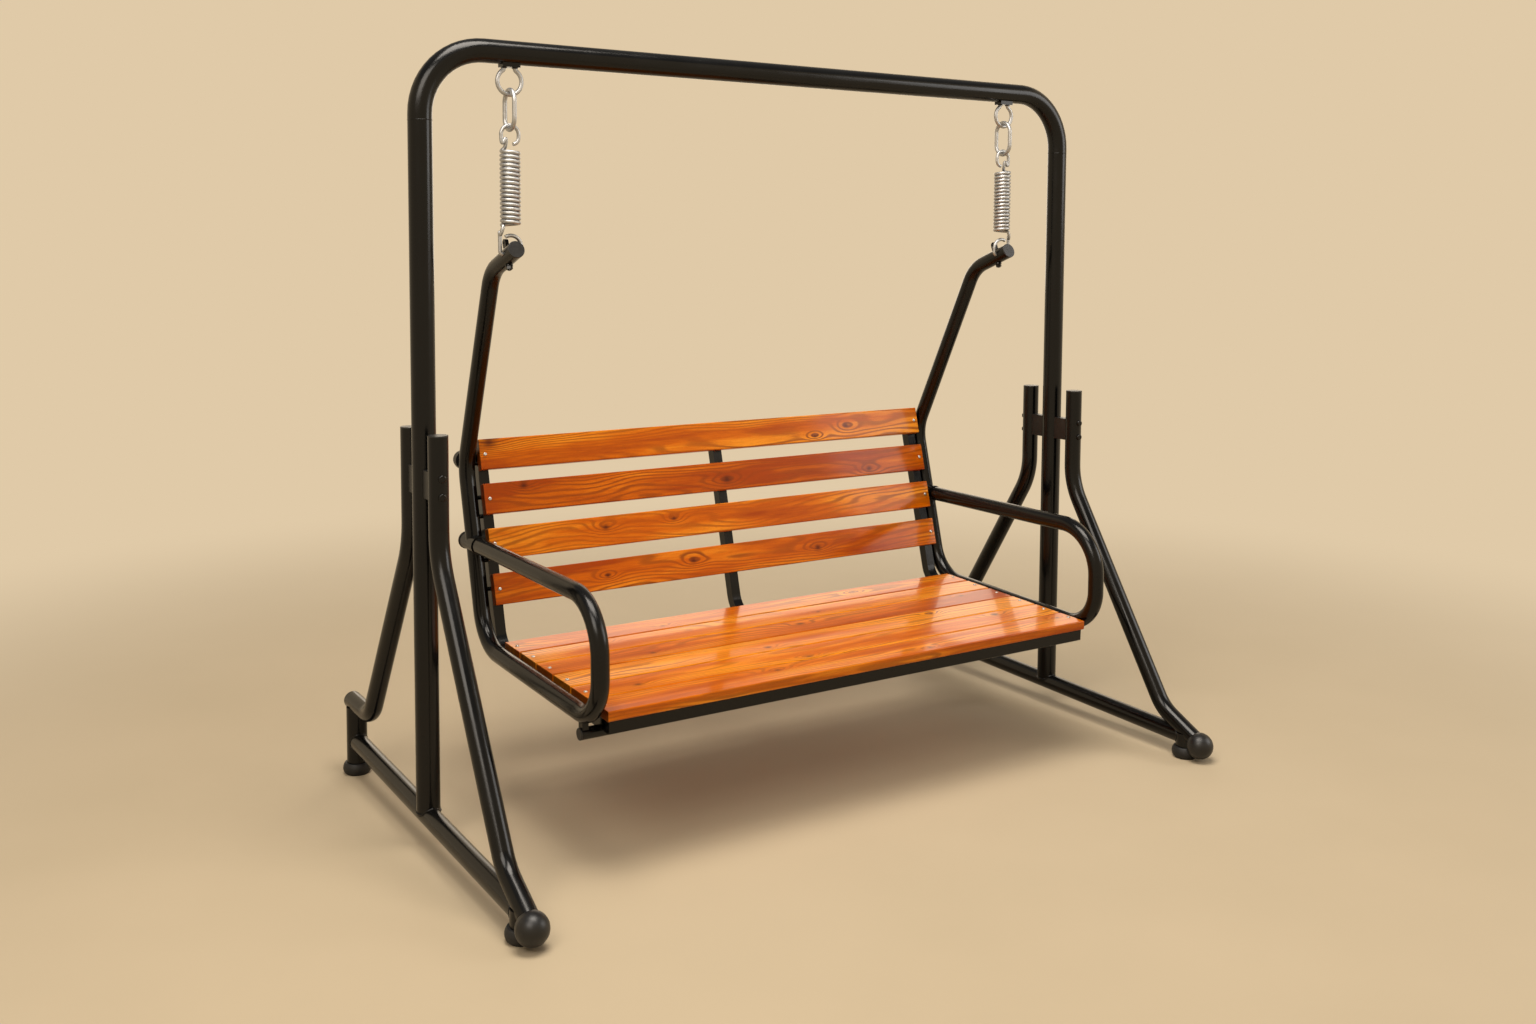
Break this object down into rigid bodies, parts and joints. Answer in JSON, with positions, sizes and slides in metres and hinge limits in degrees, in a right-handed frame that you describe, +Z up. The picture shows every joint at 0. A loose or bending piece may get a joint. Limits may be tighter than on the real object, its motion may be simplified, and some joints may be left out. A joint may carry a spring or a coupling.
{
  "type": "jhoola swing",
  "caption": "Slatted bench swing hung on coil springs from a free-standing tubular steel stand, with armrest loops.",
  "frame": {"origin": "centre of the stand footprint, on the floor", "axes": "+X along the bench to its right end seen from behind the bench facing -Y, -Y is the front that the sitter faces, +Z up"},
  "size_m": [1.8672, 1.1114, 1.7154],
  "materials": {
    "black_paint": "gloss black stove enamel",
    "dark_steel": "fasteners painted black with the frame",
    "zinc_steel": "zinc plated",
    "bright_steel": "plated screws",
    "teak": "gloss varnish",
    "foot_rubber": "moulded",
    "black_plastic": "moulded"
  },
  "bodies": {
    "stand": {"ball_caps": "black_plastic", "brace_spacers": "black_plastic", "brace_top_plugs": "black_plastic", "eye_plates": "black_paint", "front_foot_caps": "foot_rubber", "front_stubs": "black_paint", "left_base_tube": "black_paint", "left_front_brace": "black_paint", "left_hanging_eye": "zinc_steel", "left_post": "black_paint", "left_rear_brace": "black_paint", "rear_end_plugs": "black_plastic", "rear_foot_caps": "foot_rubber", "rear_stubs": "black_paint", "right_base_tube": "black_paint", "right_front_brace": "black_paint", "right_hanging_eye": "zinc_steel", "right_post": "black_paint", "right_rear_brace": "black_paint", "tie_bolts": "dark_steel", "tie_nuts": "dark_steel", "top_bow": "black_paint"},
    "left_link": {"left_ring_link": "zinc_steel"},
    "right_link": {"right_ring_link": "zinc_steel"},
    "left_spring": {"left_spring_hook": "zinc_steel", "left_spring_coil": "zinc_steel"},
    "right_spring": {"right_spring_hook": "zinc_steel", "right_spring_coil": "zinc_steel"},
    "left_loop": {"left_spring_loop": "zinc_steel"},
    "right_loop": {"right_spring_loop": "zinc_steel"},
    "seat": {"arm_clamps": "black_paint", "arm_plugs": "black_plastic", "back_knobs": "black_plastic", "back_screws": "bright_steel", "back_slat_1": "teak", "back_slat_2": "teak", "back_slat_3": "teak", "back_slat_4": "teak", "centre_screws": "bright_steel", "centre_support_bar": "black_paint", "clamp_screws": "dark_steel", "cross_plugs": "black_plastic", "cross_risers": "black_paint", "cross_tube": "black_paint", "eye_bolt_nuts": "dark_steel", "eye_bolts": "dark_steel", "front_apron": "black_paint", "hanger_caps": "black_plastic", "left_side_tube": "black_paint", "left_support_bar": "black_paint", "right_side_tube": "black_paint", "right_support_bar": "black_paint", "seat_screws": "bright_steel", "seat_slat_1": "teak", "seat_slat_2": "teak", "seat_slat_3": "teak", "seat_slat_4": "teak", "seat_slat_5": "teak", "seat_slat_6": "teak", "side_studs": "black_paint"}
  },
  "joints": [
    {"name": "left_link_swing", "type": "hinge", "parent": "stand", "child": "left_link", "pos_m": [-0.702, 0.0225, 1.6016], "axis": [1, 0, 0], "range_deg": [-20, 20]},
    {"name": "left_spring_swing", "type": "hinge", "parent": "left_link", "child": "left_spring", "pos_m": [-0.702, 0.0225, 1.53715], "axis": [1, 0, 0], "range_deg": [-15, 15]},
    {"name": "left_spring_stretch", "type": "slide", "parent": "left_spring", "child": "left_loop", "axis": [0, 0, -1], "range_m": [0, 0.02], "stiffness_N_per_m": 73600, "springref_m": -0.005, "deforming": ["left_spring_coil"]},
    {"name": "right_link_swing", "type": "hinge", "parent": "stand", "child": "right_link", "pos_m": [0.702, 0.0225, 1.6016], "axis": [1, 0, 0], "range_deg": [-20, 20]},
    {"name": "right_spring_swing", "type": "hinge", "parent": "right_link", "child": "right_spring", "pos_m": [0.702, 0.0225, 1.53715], "axis": [1, 0, 0], "range_deg": [-15, 15]},
    {"name": "right_spring_stretch", "type": "slide", "parent": "right_spring", "child": "right_loop", "axis": [0, 0, -1], "range_m": [0, 0.02], "stiffness_N_per_m": 73600, "springref_m": -0.005, "deforming": ["right_spring_coil"]},
    {"name": "seat_rock", "type": "hinge", "parent": "left_loop", "child": "seat", "pos_m": [-0.702, 0.0225, 1.26165], "axis": [1, 0, 0], "range_deg": [-10, 10]}
  ],
  "couplings": [
    {"joint": "right_link_swing", "follows": "left_link_swing", "ratio": 1},
    {"joint": "right_spring_swing", "follows": "left_spring_swing", "ratio": 1},
    {"joint": "right_spring_stretch", "follows": "left_spring_stretch", "ratio": 1}
  ]
}
